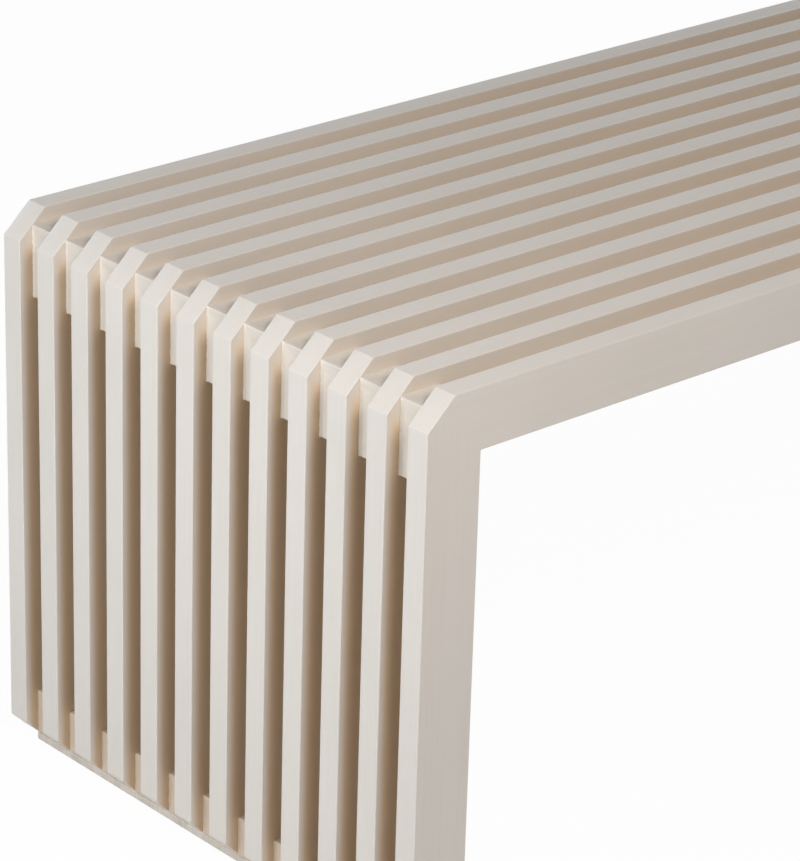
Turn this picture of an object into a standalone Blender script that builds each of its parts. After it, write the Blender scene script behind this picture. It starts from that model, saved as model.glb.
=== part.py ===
"""Slatted wooden bench.

Twelve thin frames stand side by side. Each frame is an upside-down U: a top rail
mitred to two legs, with the outer corner cut off flat. Spacer blocks hold the frames
apart at the top corners, and a notched rail ties the legs together at each foot.

X runs along the bench, Y from the front frame to the back one, Z is up.
The origin is on the floor, under the middle of the seat. Units are metres.
"""

import math

import bmesh
import bpy
from mathutils import Matrix, Vector

# Sizes of the whole bench
BENCH_LENGTH = 1.400
SEAT_HEIGHT = 0.450
FRAME_COUNT = 12
SLAT_THICKNESS = 0.020
SLAT_GAP = 0.0217

# Section of the frame members, seen from the front
LEG_WIDTH = 0.050
RAIL_HEIGHT = 0.0475
CORNER_CUT_ALONG = 0.024
CORNER_CUT_DOWN = 0.0225
FOOT_CUT = 0.0125
EDGE_EASE = 0.0008

# Loose tongue glued into each mitre of the top rail
TONGUE_THICKNESS = 0.004
TONGUE_REACH = 0.012
TONGUE_STOP = 0.010
TONGUE_ROOT = 0.003

# Spacer blocks at the top corners
SPACER_SETBACK = 0.0125
SPACER_DROP = 0.012
SPACER_HEIGHT = 0.0585
SPACER_DEPTH = 0.035

# Dowels that run through each spacer block into the frames beside it
DOWEL_RADIUS = 0.004
DOWEL_INSET = 0.010
DOWEL_WEB = 0.007
DOWEL_SIDES = 12

# Notched rail under the legs
FOOT_RAIL_SETBACK = 0.0125
FOOT_RAIL_DEPTH = 0.035
FOOT_RAIL_HEIGHT = 0.041
FOOT_SOLE = 0.0065

# Gap kept between pieces that touch
JOINT_GAP = 0.0003

# Points closer than this count as one, and faces closer than this angle as one face
SAME_PLACE = 0.00001
FLAT_ANGLE = math.radians(0.1)

PAINT_COLOUR = (0.70, 0.62, 0.53, 1.0)
PAINT_ROUGHNESS = 0.45

# Places worked out from the sizes
PITCH = SLAT_THICKNESS + SLAT_GAP
BENCH_DEPTH = FRAME_COUNT * SLAT_THICKNESS + (FRAME_COUNT - 1) * SLAT_GAP
FIRST_FRAME_Y = (SLAT_THICKNESS - BENCH_DEPTH) / 2
HALF_LENGTH = BENCH_LENGTH / 2
HOLE_DEPTH = (SLAT_THICKNESS - DOWEL_WEB) / 2
LEG_FOOT_Z = FOOT_SOLE + JOINT_GAP

# The mitre runs from the square outer corner to the inner corner, in the leg's own
# frame: x from the leg's outer face, z from the floor.
OUTER_CORNER = Vector((0.0, SEAT_HEIGHT))
INNER_CORNER = Vector((LEG_WIDTH, SEAT_HEIGHT - RAIL_HEIGHT))
MITRE_LINE = INNER_CORNER - OUTER_CORNER
MITRE_DIRECTION = MITRE_LINE.normalized()
INTO_LEG = Vector((MITRE_DIRECTION.y, -MITRE_DIRECTION.x))
CORNER_CUT_TOP = OUTER_CORNER + Vector((CORNER_CUT_ALONG, 0.0))
CORNER_CUT_SIDE = OUTER_CORNER - Vector((0.0, CORNER_CUT_DOWN))


def mitre_meets(start, end, offset):
    """Where the mitre, moved into the leg by offset, crosses the line from start to end."""
    before = (start - INNER_CORNER).dot(INTO_LEG) - offset
    after = (end - INNER_CORNER).dot(INTO_LEG) - offset
    return start.lerp(end, before / (before - after))


def mitre_on_corner_cut(offset):
    return mitre_meets(CORNER_CUT_TOP, CORNER_CUT_SIDE, offset)


def on_mitre(points, offset):
    return all(abs((point - INNER_CORNER).dot(INTO_LEG) - offset) < SAME_PLACE for point in points)


def new_collection(name):
    collection = bpy.data.collections.new(name)
    bpy.context.scene.collection.children.link(collection)
    return collection


def paint_material(name):
    material = bpy.data.materials.new(name)
    material.use_nodes = True
    shader = material.node_tree.nodes["Principled BSDF"]
    shader.inputs["Base Color"].default_value = PAINT_COLOUR
    shader.inputs["Roughness"].default_value = PAINT_ROUGHNESS
    shader.inputs["Metallic"].default_value = 0.0
    material.diffuse_color = PAINT_COLOUR
    return material


def add_object(name, mesh, collection):
    piece = bpy.data.objects.new(name, mesh)
    collection.objects.link(piece)
    return piece


def welded(mesh):
    """Joins the loose caps of a mesh made from a curve, and makes each flat side one face."""
    shape = bmesh.new()
    shape.from_mesh(mesh)
    bmesh.ops.remove_doubles(shape, verts=shape.verts, dist=SAME_PLACE)
    bmesh.ops.dissolve_limit(
        shape, angle_limit=FLAT_ANGLE, verts=shape.verts, edges=shape.edges
    )
    bmesh.ops.recalc_face_normals(shape, faces=shape.faces)
    shape.to_mesh(mesh)
    shape.free()
    return mesh


def evaluated_mesh(source):
    depsgraph = bpy.context.evaluated_depsgraph_get()
    return bpy.data.meshes.new_from_object(source.evaluated_get(depsgraph))


def outline_mesh(name, points, thickness):
    """A flat outline in X and Z, given a thickness along Y and centred on Y = 0."""
    curve = bpy.data.curves.new(name, "CURVE")
    curve.dimensions = "2D"
    curve.fill_mode = "BOTH"
    curve.extrude = thickness / 2
    spline = curve.splines.new("POLY")
    spline.points.add(len(points) - 1)
    for spot, point in zip(spline.points, points):
        spot.co = (point[0], point[1], 0.0, 1.0)
    spline.use_cyclic_u = True
    drawing = add_object(name, curve, bpy.context.scene.collection)
    bpy.context.view_layer.update()
    mesh = welded(evaluated_mesh(drawing))
    mesh.transform(Matrix.Rotation(math.radians(90), 4, "X"))
    bpy.data.objects.remove(drawing)
    bpy.data.curves.remove(curve)
    return mesh


def box_mesh(name, low, high):
    size = Vector(high) - Vector(low)
    middle = (Vector(high) + Vector(low)) / 2
    shape = bmesh.new()
    bmesh.ops.create_cube(shape, size=1.0)
    bmesh.ops.scale(shape, vec=size, verts=shape.verts)
    bmesh.ops.translate(shape, vec=middle, verts=shape.verts)
    mesh = bpy.data.meshes.new(name)
    shape.to_mesh(mesh)
    shape.free()
    return mesh


def pegs_mesh(name, pegs):
    """Round pegs along Y. Each peg is its centre and the two Y values of its ends."""
    shape = bmesh.new()
    for centre, radius, start, end in pegs:
        middle = Vector((centre.x, (start + end) / 2, centre.y))
        place = Matrix.Translation(middle) @ Matrix.Rotation(math.radians(90), 4, "X")
        bmesh.ops.create_cone(
            shape,
            cap_ends=True,
            segments=DOWEL_SIDES,
            radius1=radius,
            radius2=radius,
            depth=end - start,
            matrix=place,
        )
    mesh = bpy.data.meshes.new(name)
    shape.to_mesh(mesh)
    shape.free()
    return mesh


def ease_edges(piece, keep_sharp):
    """Takes the sharpness off every edge for which keep_sharp is false."""
    mesh = piece.data
    weights = mesh.attributes.new("bevel_weight_edge", "FLOAT", "EDGE")
    for edge in mesh.edges:
        ends = [mesh.vertices[index].co for index in edge.vertices]
        weights.data[edge.index].value = 0.0 if keep_sharp(*ends) else 1.0
    ease = piece.modifiers.new("Eased edges", "BEVEL")
    ease.limit_method = "WEIGHT"
    ease.width = EDGE_EASE
    ease.segments = 1


def cut_or_join(piece, tool_mesh, operation, tools):
    tool = add_object(piece.name + "_" + operation.lower(), tool_mesh, tools)
    tool.hide_render = True
    tool.display_type = "WIRE"
    step = piece.modifiers.new(tool.name, "BOOLEAN")
    step.operation = operation
    step.object = tool
    step.solver = "EXACT"


def finished_mesh(piece, name):
    """Applies the modifiers of a pattern piece and removes the pattern and its tools."""
    bpy.context.view_layer.update()
    mesh = evaluated_mesh(piece)
    mesh.name = name
    for step in piece.modifiers:
        if step.type == "BOOLEAN":
            bpy.data.objects.remove(step.object)
    bpy.data.objects.remove(piece)
    return mesh


def dowel_centres():
    """The two dowels of a spacer block, in the leg's own frame."""
    front = SPACER_SETBACK
    back = SPACER_SETBACK + SPACER_DEPTH
    top = SEAT_HEIGHT - SPACER_DROP
    bottom = top - SPACER_HEIGHT
    upper = Vector((back - DOWEL_INSET, top - DOWEL_INSET))
    lower = Vector((front + DOWEL_INSET, bottom + DOWEL_INSET))
    return upper, lower


def dowel_hole_pegs(hole_sides):
    """Cutters for the blind holes in one frame member, on its -Y and +Y sides."""
    face = SLAT_THICKNESS / 2
    outside = face + EDGE_EASE + JOINT_GAP
    pegs = []
    for centre in dowel_centres():
        for side in hole_sides:
            ends = sorted((side * (face - HOLE_DEPTH), side * outside))
            pegs.append((centre, DOWEL_RADIUS + JOINT_GAP, ends[0], ends[1]))
    return pegs


def tongue_outline(root, side_gap, end_gap):
    """A rectangle that crosses the mitre, in the leg's own frame."""
    start = mitre_on_corner_cut(0.0) + MITRE_DIRECTION * (TONGUE_STOP - side_gap)
    end = INNER_CORNER - MITRE_DIRECTION * (TONGUE_STOP - side_gap)
    back = INTO_LEG * -root
    front = INTO_LEG * (TONGUE_REACH + end_gap)
    return [start + back, end + back, end + front, start + front]


def mirrored(points):
    """The same points at the other end of the bench, from the middle of the bench."""
    return [Vector((-point.x, point.y)) for point in points]


def from_middle(points):
    """Points of the leg's own frame, measured from the middle of the bench."""
    return [Vector((point.x - HALF_LENGTH, point.y)) for point in points]


def rail_mesh(name, hole_sides, tools):
    """A top rail: mitred ends with a tongue in each, and the flat cut at the corners."""
    gap = -JOINT_GAP / 2
    underside = SEAT_HEIGHT - RAIL_HEIGHT
    low_end = mitre_meets(Vector((0.0, underside)), Vector((HALF_LENGTH, underside)), gap)
    left = from_middle([low_end, mitre_on_corner_cut(gap), CORNER_CUT_TOP])
    right = mirrored(reversed(left))
    rail = add_object(name, outline_mesh(name, left + right, SLAT_THICKNESS), tools)

    def at_mitre(first, second):
        if first.x * second.x < 0:
            return False
        ends = [Vector((HALF_LENGTH - abs(end.x), end.z)) for end in (first, second)]
        return on_mitre(ends, gap)

    ease_edges(rail, at_mitre)
    tongue = from_middle(tongue_outline(TONGUE_ROOT, 0.0, 0.0))
    for number, outline in enumerate((tongue, mirrored(tongue))):
        mesh = outline_mesh(f"{name}_tongue_{number}", outline, TONGUE_THICKNESS)
        cut_or_join(rail, mesh, "UNION", tools)
    pegs = []
    for centre, radius, start, end in dowel_hole_pegs(hole_sides):
        for place in (centre.x - HALF_LENGTH, HALF_LENGTH - centre.x):
            pegs.append((Vector((place, centre.y)), radius, start, end))
    cut_or_join(rail, pegs_mesh(name + "_holes", pegs), "DIFFERENCE", tools)
    return finished_mesh(rail, name)


def leg_mesh(name, hole_sides, tools):
    """A left leg, with x measured from its outer face."""
    gap = JOINT_GAP / 2
    outline = [
        mitre_on_corner_cut(gap),
        mitre_meets(Vector((LEG_WIDTH, 0.0)), Vector((LEG_WIDTH, SEAT_HEIGHT)), gap),
        Vector((LEG_WIDTH, LEG_FOOT_Z)),
        Vector((FOOT_CUT, LEG_FOOT_Z)),
        Vector((0.0, LEG_FOOT_Z + FOOT_CUT)),
        CORNER_CUT_SIDE,
    ]
    leg = add_object(name, outline_mesh(name, outline, SLAT_THICKNESS), tools)

    def at_mitre(first, second):
        return on_mitre([Vector((end.x, end.z)) for end in (first, second)], gap)

    ease_edges(leg, at_mitre)
    slot = tongue_outline(TONGUE_ROOT, JOINT_GAP, JOINT_GAP)
    width = TONGUE_THICKNESS + 2 * JOINT_GAP
    cut_or_join(leg, outline_mesh(name + "_slot", slot, width), "DIFFERENCE", tools)
    holes = pegs_mesh(name + "_holes", dowel_hole_pegs(hole_sides))
    cut_or_join(leg, holes, "DIFFERENCE", tools)
    return finished_mesh(leg, name)


def spacer_mesh(name, tools):
    """A spacer block for the left end with its two dowels, centred between two frames."""
    half = SLAT_GAP / 2 - JOINT_GAP
    top = SEAT_HEIGHT - SPACER_DROP
    low = (SPACER_SETBACK, -half, top - SPACER_HEIGHT)
    high = (SPACER_SETBACK + SPACER_DEPTH, half, top)
    spacer = add_object(name, box_mesh(name, low, high), tools)
    ease_edges(spacer, lambda first, second: False)
    tip = SLAT_GAP / 2 + HOLE_DEPTH - JOINT_GAP
    pegs = [(centre, DOWEL_RADIUS, -tip, tip) for centre in dowel_centres()]
    cut_or_join(spacer, pegs_mesh(name + "_dowels", pegs), "UNION", tools)
    return finished_mesh(spacer, name)


def foot_rail_mesh(name, tools):
    """The left foot rail: a sole under the legs with a tooth in each space between them.

    Its outline is drawn along the bench's depth and turned to face along X.
    """
    half = SLAT_GAP / 2 - JOINT_GAP
    spaces = [FIRST_FRAME_Y + PITCH * (index + 0.5) for index in range(FRAME_COUNT - 1)]
    outline = [Vector((spaces[-1] + half, 0.0)), Vector((spaces[0] - half, 0.0))]
    for space in spaces:
        if space != spaces[0]:
            outline.append(Vector((space - half, FOOT_SOLE)))
        outline.append(Vector((space - half, FOOT_RAIL_HEIGHT)))
        outline.append(Vector((space + half, FOOT_RAIL_HEIGHT)))
        if space != spaces[-1]:
            outline.append(Vector((space + half, FOOT_SOLE)))
    mesh = outline_mesh(name, outline, FOOT_RAIL_DEPTH)
    mesh.transform(Matrix.Rotation(math.radians(90), 4, "Z"))
    mesh.transform(Matrix.Translation((FOOT_RAIL_SETBACK + FOOT_RAIL_DEPTH / 2, 0.0, 0.0)))
    rail = add_object(name, mesh, tools)
    ease_edges(rail, lambda first, second: False)
    return finished_mesh(rail, name)


def place(name, mesh, collection, y, right_end=False):
    """Stands a piece of the left end in place, or turned round at the right end."""
    piece = add_object(name, mesh, collection)
    piece.location = (HALF_LENGTH if right_end else -HALF_LENGTH, y, 0.0)
    piece.rotation_euler.z = math.pi if right_end else 0.0
    piece.data.materials.clear()
    piece.data.materials.append(paint_material(name + "_paint"))
    return piece


def build():
    for leftover in list(bpy.data.objects):
        bpy.data.objects.remove(leftover)
    bench = new_collection("slatted_bench")
    tools = new_collection("cutters")

    # The front and back frames have dowel holes on their inner side only.
    front, middle, back = (1,), (-1, 1), (-1,)
    for index in range(FRAME_COUNT):
        number = f"{index + 1:02d}"
        y = FIRST_FRAME_Y + PITCH * index
        if index == 0:
            sides = front
        elif index == FRAME_COUNT - 1:
            sides = back
        else:
            sides = middle
        turned = tuple(-side for side in sides)
        rail = place(f"top_rail_{number}", rail_mesh(f"rail_{number}", sides, tools), bench, y)
        rail.location.x = 0.0
        place(f"left_leg_{number}", leg_mesh(f"left_{number}", sides, tools), bench, y)
        place(f"right_leg_{number}", leg_mesh(f"right_{number}", turned, tools), bench, y, True)

    for index in range(FRAME_COUNT - 1):
        number = f"{index + 1:02d}"
        y = FIRST_FRAME_Y + PITCH * (index + 0.5)
        for end, right_end in (("left", False), ("right", True)):
            name = f"{end}_spacer_{number}"
            place(name, spacer_mesh(name, tools), bench, y, right_end)

    for end, right_end in (("left", False), ("right", True)):
        name = f"{end}_foot_rail"
        place(name, foot_rail_mesh(name, tools), bench, 0.0, right_end)

    print("pieces:", len(bench.objects))


build()
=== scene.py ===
# %% [markdown]
# # A painted slatted bench
#
# The bench is twelve thin wooden frames that stand side by side like the teeth of a comb.
# Each one is an upside-down U: a top rail and two legs, mitred and glued, with the outer
# corner sawn off flat. Small blocks keep the frames apart at the top corners, and a
# notched rail ties the feet. All of it is sprayed in one satin sand colour.
#
# The construction is already there as a CAD model. It is loaded first, because every
# piece that is made below takes its place from it and hides the plain part under it.

import math

import bmesh
import bpy
from mathutils import Matrix, Vector


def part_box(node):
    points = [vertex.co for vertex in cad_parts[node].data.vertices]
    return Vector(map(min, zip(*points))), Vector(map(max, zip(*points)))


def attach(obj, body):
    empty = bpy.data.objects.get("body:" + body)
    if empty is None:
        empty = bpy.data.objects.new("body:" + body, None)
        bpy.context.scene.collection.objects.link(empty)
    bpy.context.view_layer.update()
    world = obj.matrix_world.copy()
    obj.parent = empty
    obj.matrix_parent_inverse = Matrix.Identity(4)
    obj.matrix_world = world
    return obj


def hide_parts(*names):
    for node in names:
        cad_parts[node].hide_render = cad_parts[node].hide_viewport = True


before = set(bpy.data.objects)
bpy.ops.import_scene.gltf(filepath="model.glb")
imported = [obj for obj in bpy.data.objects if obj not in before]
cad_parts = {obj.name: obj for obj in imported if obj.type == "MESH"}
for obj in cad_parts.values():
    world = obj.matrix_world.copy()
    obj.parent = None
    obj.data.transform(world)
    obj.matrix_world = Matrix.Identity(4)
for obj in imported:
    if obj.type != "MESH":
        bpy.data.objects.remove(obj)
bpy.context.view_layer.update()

# %% [markdown]
# ## Sizes
#
# A box that is measured on the model can't drift away from it, so lengths, pitches and
# set-backs are read from there. Six sizes don't show in any box: the rail's height, the
# cuts, the sole and the eased edges. They are written down once, in metres, like all
# lengths on the bench.

# %% Read the sizes
leg_low, leg_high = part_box("left_leg_01")
block_low, block_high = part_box("left_spacer_01")
foot_low, foot_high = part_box("left_foot_rail")
seat_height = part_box("top_rail_01")[1].z
half_length = -leg_low.x
leg_width = leg_high.x - leg_low.x
slat_thickness = leg_high.y - leg_low.y
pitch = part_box("left_leg_02")[0].y - leg_low.y
slat_gap = pitch - slat_thickness
frame_count = sum(name.startswith("top_rail_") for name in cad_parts)

rail_height = 0.0475
corner_cut_along = 0.024
corner_cut_down = 0.0225
foot_cut = 0.0125
foot_sole = 0.0065
edge_ease = 0.0008

print(f"{frame_count} frames, {slat_thickness * 1000:.1f} mm thick, {slat_gap * 1000:.1f} mm apart")

# %% [markdown]
# ## Small helpers
#
# An operator works on whatever is selected, and the loaded CAD parts still are. So each
# piece starts with nothing selected. In edit mode, faces are picked by a test on their
# place or direction, which does the same as clicking them and still holds when a size
# changes.

# %% Start a piece and pick its faces


def start_block(name, low, high):
    """A cube primitive at its real size and place, with its origin at the world's."""
    low, high = Vector(low), Vector(high)
    bpy.ops.object.select_all(action="DESELECT")
    bpy.ops.mesh.primitive_cube_add(size=1, location=(low + high) / 2, scale=high - low)
    bpy.ops.object.transform_apply(location=True, rotation=True, scale=True)
    piece = bpy.context.object
    piece.name = name
    piece.data.name = name
    return piece


def pick_faces(test):
    """In edit mode, selects just the faces that pass the test."""
    bpy.ops.mesh.select_mode(type="FACE")
    bpy.ops.mesh.select_all(action="DESELECT")
    mesh = bpy.context.object.data
    shape = bmesh.from_edit_mesh(mesh)
    for face in shape.faces:
        if test(face.calc_center_median(), face.normal):
            face.select_set(True)
    shape.select_flush_mode()
    bmesh.update_edit_mesh(mesh)


def saw(point, outward, keep_both=False):
    """In edit mode, cuts straight through the piece, and drops what is on the outward side."""
    bpy.ops.mesh.select_all(action="SELECT")
    bpy.ops.mesh.bisect(
        plane_co=point,
        plane_no=outward,
        use_fill=not keep_both,
        clear_outer=not keep_both,
    )


# %% Apply modifiers and copy pieces


def apply_all(piece):
    """Applies every modifier of the piece, top to bottom."""
    bpy.ops.object.select_all(action="DESELECT")
    piece.select_set(True)
    bpy.context.view_layer.objects.active = piece
    for modifier in list(piece.modifiers):
        bpy.ops.object.modifier_apply(modifier=modifier.name)


def ease_edges(piece, width, segments=3):
    """Takes the sharpness off every edge, and keeps the flats flat in the shading."""
    bpy.ops.object.select_all(action="DESELECT")
    piece.select_set(True)
    bpy.context.view_layer.objects.active = piece
    bpy.ops.object.shade_smooth()
    ease = piece.modifiers.new("Eased edges", "BEVEL")
    ease.width = width
    ease.segments = segments
    ease.limit_method = "ANGLE"
    ease.angle_limit = math.radians(30)
    ease.harden_normals = True
    apply_all(piece)


def copy_moved(piece, name, along_y):
    """A copy with its own mesh, moved along the bench's depth."""
    bpy.ops.object.select_all(action="DESELECT")
    piece.select_set(True)
    bpy.context.view_layer.objects.active = piece
    bpy.ops.object.duplicate(linked=False)
    copy = bpy.context.object
    bpy.ops.transform.translate(value=(0.0, along_y, 0.0))
    bpy.ops.object.transform_apply(location=True, rotation=True, scale=True)
    copy.name = name
    copy.data.name = name
    return copy


# %% [markdown]
# ## One frame
#
# On the real bench the mitres are filled, sanded and painted over, so a rail and its two
# legs look like one bent bar. The CAD model keeps them as three parts with a hairline
# between them. A Boolean union of the three would bring that hairline along. A new bar is
# cleaner: half of the top rail is a cube, the leg is extruded down from its end, and the
# corner and the foot are sawn off with Bisect. The leg reaches a hair below the top of
# the sole instead of only touching it. The legs of the two outer frames stand beside the
# sole and end as low. Mirror then makes the other half.

# %% Rail and leg of the left half
front_low = Vector((-half_length, leg_low.y, seat_height - rail_height))
front_high = Vector((0.0, leg_high.y, seat_height))
first_frame = start_block("frame_01", front_low, front_high)
leg_inside = -half_length + leg_width

bpy.ops.object.mode_set(mode="EDIT")
saw((leg_inside, 0.0, 0.0), (1.0, 0.0, 0.0), keep_both=True)
pick_faces(lambda centre, normal: normal.z < -0.9 and centre.x < leg_inside)
leg_drop = foot_sole - edge_ease - front_low.z
bpy.ops.mesh.extrude_region_move(TRANSFORM_OT_translate={"value": (0.0, 0.0, leg_drop)})

# %% Saw off the corner and the foot
corner_point = (-half_length + corner_cut_along, 0.0, seat_height)
corner_outward = (-corner_cut_down, 0.0, corner_cut_along)
saw(corner_point, corner_outward)
foot_point = (-half_length + foot_cut, 0.0, foot_sole)
saw(foot_point, (-1.0, 0.0, -1.0))
pick_faces(lambda centre, normal: normal.x > 0.9 and centre.x > -edge_ease)
bpy.ops.mesh.delete(type="FACE")

# %% Sand its two sharpest points
sanded = 0.0015
bpy.ops.mesh.select_mode(type="VERT")
bpy.ops.mesh.select_all(action="DESELECT")
shape = bmesh.from_edit_mesh(first_frame.data)
for vertex in shape.verts:
    across_y = Vector((corner_point[0], vertex.co.y, corner_point[2]))
    vertex.select_set((vertex.co - across_y).length < 0.0001)
bmesh.update_edit_mesh(first_frame.data)
bpy.ops.mesh.bevel(offset=sanded, segments=1, affect="VERTICES")
bpy.ops.object.mode_set(mode="OBJECT")

# %% Mirror it and ease its edges
mirror = first_frame.modifiers.new("Right half", "MIRROR")
mirror.merge_threshold = 0.0001
apply_all(first_frame)
bpy.ops.object.mode_set(mode="EDIT")
bpy.ops.mesh.select_all(action="SELECT")
bpy.ops.mesh.dissolve_limited(angle_limit=math.radians(1))
bpy.ops.object.mode_set(mode="OBJECT")
ease_edges(first_frame, edge_ease)
print("One frame has", len(first_frame.data.polygons), "faces")

# %% Copy it across the bench
frames = [first_frame]
for index in range(1, frame_count):
    frames.append(copy_moved(first_frame, f"frame_{index + 1:02d}", pitch * index))
print(len(frames), "frames, from y", round(leg_low.y, 4), "to", round(-leg_low.y, 4))

# %% [markdown]
# ## Spacer blocks
#
# A small block sits between each pair of frames, a little behind the corner and a little
# below the seat. It is glued in. The glue that was squeezed out was never wiped off, so
# under the paint a lumpy bead runs along each joint. The block is a cube with eased edges,
# a little narrower than the space. Its two glued sides are extruded towards the slats in
# steps that swell into the bead and end just inside the wood, so no crack is left open.
# The teeth of the foot rail are made the same way.

# %% Pick edges by their direction


def pick_edges(axis, longer_than=0.0):
    """In edit mode, selects just the edges that run along one axis (0, 1 or 2)."""
    bpy.ops.mesh.select_mode(type="EDGE")
    bpy.ops.mesh.select_all(action="DESELECT")
    mesh = bpy.context.object.data
    shape = bmesh.from_edit_mesh(mesh)
    for edge in shape.edges:
        span = edge.verts[1].co - edge.verts[0].co
        if abs(span[axis]) > max(0.999 * span.length, longer_than):
            edge.select_set(True)
    bmesh.update_edit_mesh(mesh)


# %% Extrude a glued side by one step
bead_width = 0.0018
bead_height = 0.0004
bead_sunk = 0.0004
bead_steps = ((0.30, 0.6), (0.35, 0.4), (0.35, 0.0))
lump_spacing = 0.0012


def swell(middle, along_y, grow):
    """Extrudes the selected side along Y, and widens it all round by grow."""
    bpy.ops.mesh.extrude_region_move(TRANSFORM_OT_translate={"value": (0, along_y, 0)})
    mesh = bmesh.from_edit_mesh(bpy.context.object.data)
    rim = [vertex.co for vertex in mesh.verts if vertex.select]
    wide = max(point.x for point in rim) - min(point.x for point in rim)
    high = max(point.z for point in rim) - min(point.z for point in rim)
    larger = (1 + 2 * grow / wide, 1.0, 1 + 2 * grow / high)
    bpy.ops.transform.resize(value=larger, center_override=middle)


# %% A block with its beads


def glued_block(name, low, high):
    """A block that fills the space between two slats, with a bead of glue along each."""
    low, high = Vector(low), Vector(high)
    middle = (low + high) / 2
    bead = Vector((0.0, bead_width, 0.0))
    block = start_block(name, low + bead, high - bead)
    bpy.ops.object.mode_set(mode="EDIT")
    pick_edges(1)
    bpy.ops.mesh.bevel(offset=edge_ease, segments=2, affect="EDGES")
    for side in (-1.0, 1.0):
        pick_faces(lambda centre, normal: normal.y * side > 0.9)
        for step, grow in bead_steps:
            swell(middle, side * step * bead_width, grow * bead_height)
        swell(middle, side * bead_sunk, 0.0)
    for axis in (0, 2):
        length = (high - low)[axis]
        pick_edges(axis, longer_than=length / 2)
        bpy.ops.mesh.subdivide(number_cuts=round(length / lump_spacing))
    half_gap = (high.y - low.y) / 2
    pick_faces(lambda centre, normal: abs(centre.y - middle.y) > half_gap + bead_sunk * 0.9)
    bpy.ops.mesh.dissolve_faces()
    bpy.ops.object.mode_set(mode="OBJECT")
    return block


# %% The spacer blocks
gap_low_y = leg_high.y
gap_high_y = leg_high.y + slat_gap
first_block = glued_block(
    "left_spacer_block_01",
    (block_low.x, gap_low_y, block_low.z),
    (block_high.x, gap_high_y, block_high.z),
)
blocks = [first_block]
for index in range(1, frame_count - 1):
    blocks.append(copy_moved(first_block, f"left_spacer_block_{index + 1:02d}", pitch * index))
print("One block has", len(first_block.data.polygons), "faces")

# %% [markdown]
# No two beads in a row are alike. Displace pushes the points of each block's beads in and
# out along a cloud texture. It reads the block's own coordinates, which differ from copy
# to copy, so one texture gives every block of the row its own lumps. The last ring of
# points, which is hidden in the slat, stays where it is, so a bead can't peel away from
# the wood.

# %% Lumps on each bead
lumps = bpy.data.textures.new("glue_lumps", "CLOUDS")
lumps.noise_scale = 0.0022
lumps.noise_depth = 2
lump_height = 0.0011


def roughen(block, low_y):
    """Makes the beads of one block lumpy. low_y is where its near slat ends."""
    middle_y = low_y + slat_gap / 2
    bead_start = slat_gap / 2 - bead_width * 0.9
    bead_end = slat_gap / 2 + bead_sunk * 0.5
    beads = block.vertex_groups.new(name="Glue beads")
    on_beads = [
        vertex.index
        for vertex in block.data.vertices
        if bead_start < abs(vertex.co.y - middle_y) < bead_end
    ]
    beads.add(on_beads, 1.0, "REPLACE")
    push = block.modifiers.new("Lumps", "DISPLACE")
    push.texture = lumps
    push.texture_coords = "LOCAL"
    push.vertex_group = beads.name
    push.strength = lump_height
    push.mid_level = 0.5
    apply_all(block)
    bpy.ops.object.shade_smooth_by_angle(angle=math.radians(50))


for index, block in enumerate(blocks):
    roughen(block, gap_low_y + pitch * index)

# %% [markdown]
# ## Foot rails
#
# The feet stand on a rail with a tooth in each space between the legs. On the photo the
# teeth look like blocks, glued in like the spacers, on a thin sole. So the sole is one long
# eased cube, the first tooth is a glued block, and each copy of it is stretched upwards or
# pressed down by some millimetres before it gets its own lumps.
#
# The list of heights runs from the near side of the bench to the far side. It puts the tops
# about where the picture has them, and isn't a measurement of the blocks: it also makes up
# for the line of the feet, which comes out a little too flat. The first two teeth lie outside
# the picture and are guesses. Of the third it is only known that it ends below the edge.

# %% The sole
sole_overhang = 0.0008
left_foot = start_block(
    "left_foot_tie",
    (foot_low.x - sole_overhang, leg_high.y - sole_overhang, 0.0),
    (foot_high.x, -leg_high.y + sole_overhang, foot_sole),
)
ease_edges(left_foot, edge_ease)

# %% Its teeth
tooth_height = foot_high.z - foot_sole
taller_by = (
    -0.0008, -0.0030, -0.0050, -0.0042, -0.0029, -0.0019,
    -0.0012, -0.0013, 0.0001, -0.0003, 0.0022,
)
first_tooth = glued_block(
    "foot_tooth_01",
    (foot_low.x, gap_low_y, foot_sole - edge_ease),
    (foot_high.x, gap_high_y, foot_high.z),
)
teeth = [first_tooth]
for index in range(1, frame_count - 1):
    teeth.append(copy_moved(first_tooth, f"foot_tooth_{index + 1:02d}", pitch * index))

for index, tooth in enumerate(teeth):
    bpy.ops.object.select_all(action="DESELECT")
    tooth.select_set(True)
    bpy.context.view_layer.objects.active = tooth
    stretch = 1 + taller_by[index] / tooth_height
    bpy.ops.transform.resize(value=(1, 1, stretch), center_override=(0, 0, foot_sole))
    bpy.ops.object.transform_apply(location=True, rotation=True, scale=True)
    roughen(tooth, gap_low_y + pitch * index)

# %% Join the teeth to the sole
bpy.ops.object.select_all(action="DESELECT")
for tooth in teeth:
    tooth.select_set(True)
left_foot.select_set(True)
bpy.context.view_layer.objects.active = left_foot
bpy.ops.object.join()
print("One foot tie has", len(left_foot.data.polygons), "faces")

# %% [markdown]
# ## The other end
#
# The frames were mirrored while they were made, so only the blocks and the foot tie are
# still missing on the right. Each is copied and mirrored across the middle of the bench,
# lumps and all. Mirroring turns a mesh inside out, so its normals are then set right.

# %% Blocks and foot tie of the other end


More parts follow.
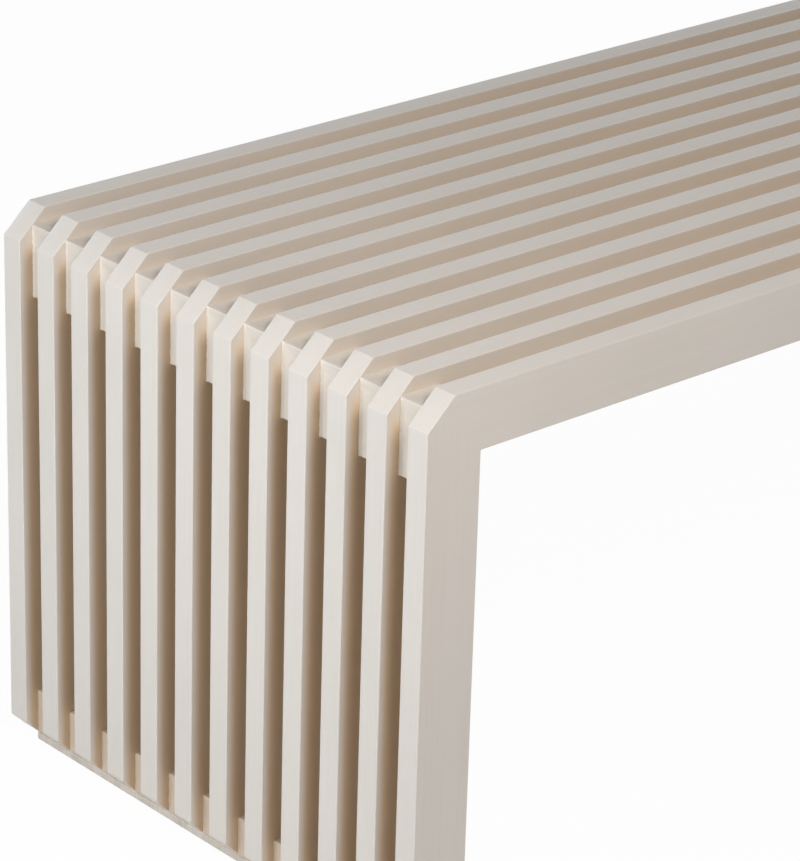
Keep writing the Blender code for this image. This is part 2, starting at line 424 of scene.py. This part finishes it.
def other_end(piece, name):
    """A copy of a left piece, mirrored to the right end of the bench."""
    copy = copy_moved(piece, name, 0.0)
    bpy.ops.transform.mirror(constraint_axis=(True, False, False), center_override=(0, 0, 0))
    bpy.ops.object.transform_apply(location=True, rotation=True, scale=True)
    bpy.ops.object.mode_set(mode="EDIT")
    bpy.ops.mesh.select_all(action="SELECT")
    bpy.ops.mesh.normals_make_consistent(inside=False)
    bpy.ops.object.mode_set(mode="OBJECT")
    return copy


right_blocks = [other_end(block, block.name.replace("left", "right")) for block in blocks]
right_foot = other_end(left_foot, "right_foot_tie")
print(len(blocks) + len(right_blocks), "spacer blocks and 2 foot ties")

# %% [markdown]
# ## Nodes, written short
#
# A material is a small graph. A few helpers keep the cells below readable: calc adds a
# Math node, soft_step turns a range of values into a soft step from 0 to 1, mix_colours
# mixes two colours, and noise makes clouds. Each takes numbers or the outputs of other
# nodes, as the sockets do, and gives back an output that the next one can use.

# %% Node helpers


def wire(tree, node, values):
    """Sets each input of a node to a number, or links it to another node's output."""
    for name, value in values.items():
        if isinstance(value, bpy.types.NodeSocket):
            tree.links.new(value, node.inputs[name])
        else:
            node.inputs[name].default_value = value


def calc(tree, operation, first, second=0.0):
    node = tree.nodes.new("ShaderNodeMath")
    node.operation = operation
    wire(tree, node, {0: first, 1: second})
    return node.outputs[0]


def soft_step(tree, value, start, end):
    node = tree.nodes.new("ShaderNodeMapRange")
    node.interpolation_type = "SMOOTHSTEP"
    wire(tree, node, {"Value": value, "From Min": start, "From Max": end})
    return node.outputs[0]


def mix_colours(tree, amount, first, second):
    node = tree.nodes.new("ShaderNodeMix")
    node.data_type = "RGBA"
    wire(tree, node, {"Factor": amount, "A": first, "B": second})
    return node.outputs["Result"]


def noise(tree, place, scale, detail=2.0):
    """Cloudy values around 0.5. A scale of 100 makes features of about a centimetre."""
    node = tree.nodes.new("ShaderNodeTexNoise")
    wire(tree, node, {"Vector": place, "Scale": scale, "Detail": detail})
    return node.outputs["Fac"]


def stretched(tree, place, scale):
    """Coordinates multiplied by a scale for each axis."""
    node = tree.nodes.new("ShaderNodeMapping")
    wire(tree, node, {"Vector": place, "Scale": scale})
    return node.outputs["Vector"]


# %% [markdown]
# ## The paint
#
# One satin sand colour covers the whole bench, but a real coat is never one flat value.
# It clouds a little over a hand's width, the wood's grain shows through as faint streaks
# along each member, and a few dust nibs and dents sit in it. Deep in each 22 mm gap the
# colour is painted darker and warmer: a painted shade, warm like light bounced between the slats.
# All of this follows Object coordinates, which are the bench's own metres, so every
# frame gets its own streaks although they share one material.

# %% How far a point lies from the open edges of its frame
cut_reach = corner_cut_along * corner_cut_down / math.hypot(corner_cut_along, corner_cut_down)


def frame_places(tree):
    """Named places on a U frame, as node outputs in metres."""
    source = tree.nodes.new("ShaderNodeTexCoord")
    coordinates = source.outputs["Object"]
    split = tree.nodes.new("ShaderNodeSeparateXYZ")
    tree.links.new(coordinates, split.inputs[0])
    facing = tree.nodes.new("ShaderNodeSeparateXYZ")
    tree.links.new(source.outputs["Normal"], facing.inputs[0])
    along_x = calc(tree, "ABSOLUTE", split.outputs["X"])
    inwards = calc(tree, "SUBTRACT", half_length, along_x)
    down = calc(tree, "SUBTRACT", seat_height, split.outputs["Z"])
    slope = calc(
        tree,
        "ADD",
        calc(tree, "DIVIDE", inwards, corner_cut_along),
        calc(tree, "DIVIDE", down, corner_cut_down),
    )
    behind_cut = calc(tree, "MULTIPLY", calc(tree, "SUBTRACT", slope, 1.0), cut_reach)
    outer = calc(tree, "MINIMUM", calc(tree, "MINIMUM", inwards, down), behind_cut)
    inner = calc(
        tree,
        "MAXIMUM",
        calc(tree, "SUBTRACT", leg_width, inwards),
        calc(tree, "SUBTRACT", rail_height, down),
    )
    across = calc(tree, "ABSOLUTE", split.outputs["Y"])
    return {
        "place": coordinates,
        "inwards": inwards,
        "down": down,
        "depth": calc(tree, "MINIMUM", outer, inner),
        "across": across,
        "wall": soft_step(tree, calc(tree, "ABSOLUTE", facing.outputs["Y"]), 0.6, 0.9),
    }


# %% Streaks that follow the wood
fine = 420
drawn_out = 9


def wood_streaks(tree, places):
    """Faint streaks, along Z on the legs and along X on the rails."""
    leg_place = stretched(tree, places["place"], (fine, fine, drawn_out))
    rail_place = stretched(tree, places["place"], (drawn_out, fine, fine))
    on_legs = noise(tree, leg_place, 1.0, 3.0)
    on_rails = noise(tree, rail_place, 1.0, 3.0)
    down_share = calc(tree, "DIVIDE", places["down"], rail_height)
    inward_share = calc(tree, "DIVIDE", places["inwards"], leg_width)
    leg = calc(tree, "GREATER_THAN", calc(tree, "SUBTRACT", down_share, inward_share), 0.0)
    node = tree.nodes.new("ShaderNodeMix")
    wire(tree, node, {"Factor": leg, "A": on_rails, "B": on_legs})
    return node.outputs["Result"]


# %% Painted shade in the gaps
# Where the painted shade begins and how strong it gets, on the legs and on the rails.
mitre_start, mitre_end = 0.022, 0.038
leg_shade_depths = (0.0005, 0.009)
rail_shade_depths = (-0.003, 0.005)
end_of_rail, middle_of_rail = 0.05, 0.55
shade_at_rail_end, more_shade_at_middle = 0.28, 0.24


def painted_gap_shade(tree, places):
    """Painted shade: 0 outside the gaps, up to 1 deep between two legs."""
    in_a_gap = calc(tree, "LESS_THAN", places["across"], -leg_low.y - edge_ease)
    on_leg = soft_step(tree, places["down"], mitre_start, mitre_end)
    leg_shade = calc(tree, "MULTIPLY", soft_step(tree, places["depth"], *leg_shade_depths), on_leg)
    towards_middle = soft_step(tree, places["inwards"], end_of_rail, middle_of_rail)
    middle = calc(tree, "MULTIPLY", towards_middle, more_shade_at_middle)
    on_rail = calc(tree, "SUBTRACT", 1.0, on_leg)
    rail_share = calc(tree, "MULTIPLY", calc(tree, "ADD", middle, shade_at_rail_end), on_rail)
    rail_step = soft_step(tree, places["depth"], *rail_shade_depths)
    rail_shade = calc(tree, "MULTIPLY", rail_step, rail_share)
    gap_shade = calc(tree, "MULTIPLY", calc(tree, "ADD", leg_shade, rail_shade), in_a_gap)
    return calc(tree, "MULTIPLY", gap_shade, places["wall"])


# %% The paint itself
peel_scale = 900.0
nib_scale = 330.0
relief_strength = 0.25
relief_depth = 0.0004


def sand_paint(name, light_tone, shade_tone, gap_shade_share, roughness, cloud_scale=7.0):
    """A satin paint. The share after the two tones says how much painted shade darkens and warms
    its gaps.
    """
    material = bpy.data.materials.new(name)
    material.use_nodes = True
    tree = material.node_tree
    shader = tree.nodes["Principled BSDF"]
    places = frame_places(tree)
    clouds = noise(tree, places["place"], cloud_scale)
    streaks = wood_streaks(tree, places)

    cloud_share = calc(tree, "MULTIPLY", clouds, 0.6)
    streak_share = calc(tree, "MULTIPLY", streaks, 0.4)
    tone_share = calc(tree, "ADD", cloud_share, streak_share)
    tone = mix_colours(tree, soft_step(tree, tone_share, 0.3, 0.7), shade_tone, light_tone)

    # Painted shade: deep in the gaps the tone turns darker and warmer.
    gap_shade = calc(tree, "MULTIPLY", painted_gap_shade(tree, places), gap_shade_share)
    tone = mix_colours(tree, gap_shade, tone, gap_shade_tone)
    tree.links.new(tone, shader.inputs["Base Color"])

    rough = calc(tree, "ADD", roughness - 0.05, calc(tree, "MULTIPLY", clouds, 0.1))
    tree.links.new(rough, shader.inputs["Roughness"])

    peel = noise(tree, places["place"], peel_scale, 1.0)
    nibs = soft_step(tree, noise(tree, places["place"], nib_scale, 0.0), 0.80, 0.84)
    streak_relief = calc(tree, "MULTIPLY", streaks, 0.7)
    relief = calc(tree, "ADD", streak_relief, calc(tree, "MULTIPLY", peel, 0.3))
    relief = calc(tree, "ADD", relief, nibs)
    bump = tree.nodes.new("ShaderNodeBump")
    bump.inputs["Strength"].default_value = relief_strength
    bump.inputs["Distance"].default_value = relief_depth
    tree.links.new(relief, bump.inputs["Height"])
    tree.links.new(bump.outputs["Normal"], shader.inputs["Normal"])
    return material


# %% [markdown]
# ## The tones
#
# That one colour comes in a few relations. The spacer blocks are a little creamier than
# the slats. The upright beads get a lighter paint, which is a painted highlight along each
# joint. The sole is worn and patchy, and the teeth on it are browner and darker.
# Each paint mixes a light and a shade tone.

# %% The paints
# The darker, warmer tone of the painted shade in the gaps.
gap_shade_tone = (0.608, 0.455, 0.303, 1.0)
frame_paint = sand_paint(
    "bench_frame_paint",
    light_tone=(0.634, 0.588, 0.536, 1.0),
    shade_tone=(0.599, 0.557, 0.504, 1.0),
    gap_shade_share=1.0,
    roughness=0.42,
)
block_paint = sand_paint(
    "bench_block_paint",
    light_tone=(0.624, 0.567, 0.500, 1.0),
    shade_tone=(0.590, 0.537, 0.471, 1.0),
    gap_shade_share=0.0,
    roughness=0.48,
)
# A lighter paint for the front faces of the beads: a painted highlight along each joint.
bead_highlight_paint = sand_paint(
    "bench_bead_highlight_paint",
    light_tone=(0.690, 0.620, 0.530, 1.0),
    shade_tone=(0.652, 0.584, 0.498, 1.0),
    gap_shade_share=0.0,
    roughness=0.40,
)
sole_paint = sand_paint(
    "bench_sole_paint",
    light_tone=(0.660, 0.605, 0.535, 1.0),
    shade_tone=(0.540, 0.475, 0.400, 1.0),
    gap_shade_share=0.0,
    roughness=0.5,
    cloud_scale=90.0,
)
tooth_paint = sand_paint(
    "bench_tooth_paint",
    light_tone=(0.635, 0.525, 0.410, 1.0),
    shade_tone=(0.580, 0.470, 0.360, 1.0),
    gap_shade_share=0.0,
    roughness=0.5,
    cloud_scale=40.0,
)
print("5 paints, with", len(frame_paint.node_tree.nodes), "nodes in the frames'")

# %% [markdown]
# ## Hand the pieces over
#
# Each new piece stands for certain CAD parts, which are hidden from now on. A frame stands
# for three of them, its rail and its two legs. Two paints meet on one piece in two places:
# the upright beads of a block have their own, and so do the teeth that stand on a sole.

# %% Hand the pieces over to the frame


def finish_piece(piece, paint, slot, *nodes):
    """Gives a piece its paint and hides the CAD parts that it stands for. slot is not used."""
    piece.data.materials.clear()
    piece.data.materials.append(paint)
    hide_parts(*nodes)
    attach(piece, "root")


for index, piece in enumerate(frames):
    number = f"{index + 1:02d}"
    nodes = [f"{part}_{number}" for part in ("top_rail", "left_leg", "right_leg")]
    finish_piece(piece, frame_paint, "frame_paint", *nodes)
for end, row in (("left", blocks), ("right", right_blocks)):
    for index, piece in enumerate(row):
        finish_piece(piece, block_paint, "spacer_paint", f"{end}_spacer_{index + 1:02d}")
        # The beads' front faces take the lighter paint, a painted highlight.
        piece.data.materials.append(bead_highlight_paint)
        middle_y = gap_low_y + slat_gap / 2 + pitch * index
        for face in piece.data.polygons:
            beside = slat_gap / 2 - abs(face.center.y - middle_y)
            upright = abs(face.normal.x) > abs(face.normal.z)
            face.material_index = int(beside < bead_width and upright)
for end, tie in (("left", left_foot), ("right", right_foot)):
    finish_piece(tie, sole_paint, "foot_rail_paint", f"{end}_foot_rail")
    tie.data.materials.append(tooth_paint)
    for face in tie.data.polygons:
        face.material_index = int(face.center.z > foot_sole)

# %% [markdown]
# ## Studio
#
# The bench stands on plain white paper under soft lamps. Paper that is lit like the bench
# renders grey-white at best, so its material glows, but only in what the camera sees
# directly or mirrored in the satin paint. The light that it throws back on the bench stays
# that of plain paper, and a soft shadow under the bench stays faintly visible.

# %% White for the eye only


def seen_directly(tree):
    """1 for rays that come straight from the camera or off a glossy surface, else 0."""
    path = tree.nodes.new("ShaderNodeLightPath")
    return calc(tree, "MAXIMUM", path.outputs["Is Camera Ray"], path.outputs["Is Glossy Ray"])


# %% Paper floor
floor_size = 30
paper_tone = (0.7, 0.7, 0.7, 1.0)
paper_glow = 0.97

bpy.ops.object.select_all(action="DESELECT")
bpy.ops.mesh.primitive_plane_add(size=floor_size)
floor = bpy.context.object
floor.name = "studio_floor"
paper = bpy.data.materials.new("white_paper")
paper.use_nodes = True
tree = paper.node_tree
matt = tree.nodes["Principled BSDF"]
matt.inputs["Base Color"].default_value = paper_tone
matt.inputs["Roughness"].default_value = 1.0
glow = tree.nodes.new("ShaderNodeEmission")
blend = tree.nodes.new("ShaderNodeMixShader")
glow_share = calc(tree, "MULTIPLY", seen_directly(tree), paper_glow)
tree.links.new(glow_share, blend.inputs["Fac"])
tree.links.new(matt.outputs["BSDF"], blend.inputs[1])
tree.links.new(glow.outputs["Emission"], blend.inputs[2])
tree.links.new(blend.outputs["Shader"], tree.nodes["Material Output"].inputs["Surface"])
floor.data.materials.append(paper)

# %% World
world = bpy.data.worlds.new("studio")
world.use_nodes = True
bpy.context.scene.world = world
tree = world.node_tree
background = tree.nodes["Background"]
background.inputs["Color"].default_value = (1.0, 1.0, 1.0, 1.0)
room_light = 0.12
strength = calc(tree, "MAXIMUM", seen_directly(tree), room_light)
tree.links.new(strength, background.inputs["Strength"])

# %% [markdown]
# The light comes from five square soft boxes. The key stands close and straight in front
# of the bench's end, so the fronts are the brightest faces and darken a little towards
# the floor. Two fills stand on the camera's right. The near one is narrow, so the light
# that it sends into a gap fades over the first centimetre, much as on the photo.
# Two weak lamps behind the bench brush the tops and light the back and the far end.
# A lamp's strength is the light that it sends to the near end of the bench, where 1 would
# turn white paper white. That keeps the numbers comparable whatever the distance.

# %% Lamps
near_end = Vector((-0.60, 0.0, 0.33))


def add_lamp(name, azimuth, elevation, distance, size, strength, colour):
    """A square lamp that faces the near end. The azimuth turns from +X towards +Y."""
    around, up = math.radians(azimuth), math.radians(elevation)
    towards = Vector((
        math.cos(up) * math.cos(around),
        math.cos(up) * math.sin(around),
        math.sin(up),
    ))
    bpy.ops.object.light_add(
        type="AREA",
        location=near_end + towards * distance,
        rotation=towards.to_track_quat("Z", "Y").to_euler(),
    )
    lamp = bpy.context.object
    lamp.name = name
    lamp.visible_camera = False
    lamp.data.shape = "SQUARE"
    lamp.data.size = size
    lamp.data.energy = strength * (math.pi * distance) ** 2
    lamp.data.color = colour


cool = (0.955, 1.0, 1.05)
sky = (0.93, 1.0, 1.12)
warm = (1.04, 1.0, 0.97)

# name, azimuth, elevation, distance, size, strength, colour
add_lamp("key", 180, 15, 1.1, 0.6, 0.655, cool)
add_lamp("near_fill", 256, 41, 1.35, 0.46, 0.315, warm)
add_lamp("far_fill", 250, 40, 3.6, 1.2, 0.35, warm)
add_lamp("behind", 100, 15, 3.4, 2.0, 0.29, sky)
add_lamp("far_end", 0, 15, 3.4, 2.0, 0.25, sky)

# %% [markdown]
# ## Camera
#
# The photo looks down on the near corner from about 24 degrees, through a long lens that
# crops most of the bench away. Place, angles and focal length were found by matching the
# straight edges of the slats, so they stay as measured numbers. The small roll keeps the
# legs as slightly tilted as the photo has them.

# %% Camera
camera_place = (-2.2814, -1.94705, 1.4494)
camera_heading = 47.6591
camera_pitch = 23.6522
camera_roll = 1.6953
focal_length = 158.61
turn = Matrix.Rotation(math.radians(camera_heading - 90), 4, "Z")
tilt = Matrix.Rotation(math.radians(90 - camera_pitch), 4, "X")
roll = Matrix.Rotation(math.radians(camera_roll), 4, "Z")
bpy.ops.object.camera_add(location=camera_place, rotation=(turn @ tilt @ roll).to_euler())
camera = bpy.context.object
camera.data.lens = focal_length
camera.data.sensor_width = 36.0
bpy.context.scene.camera = camera

bpy.context.scene.view_settings.view_transform = "Standard"
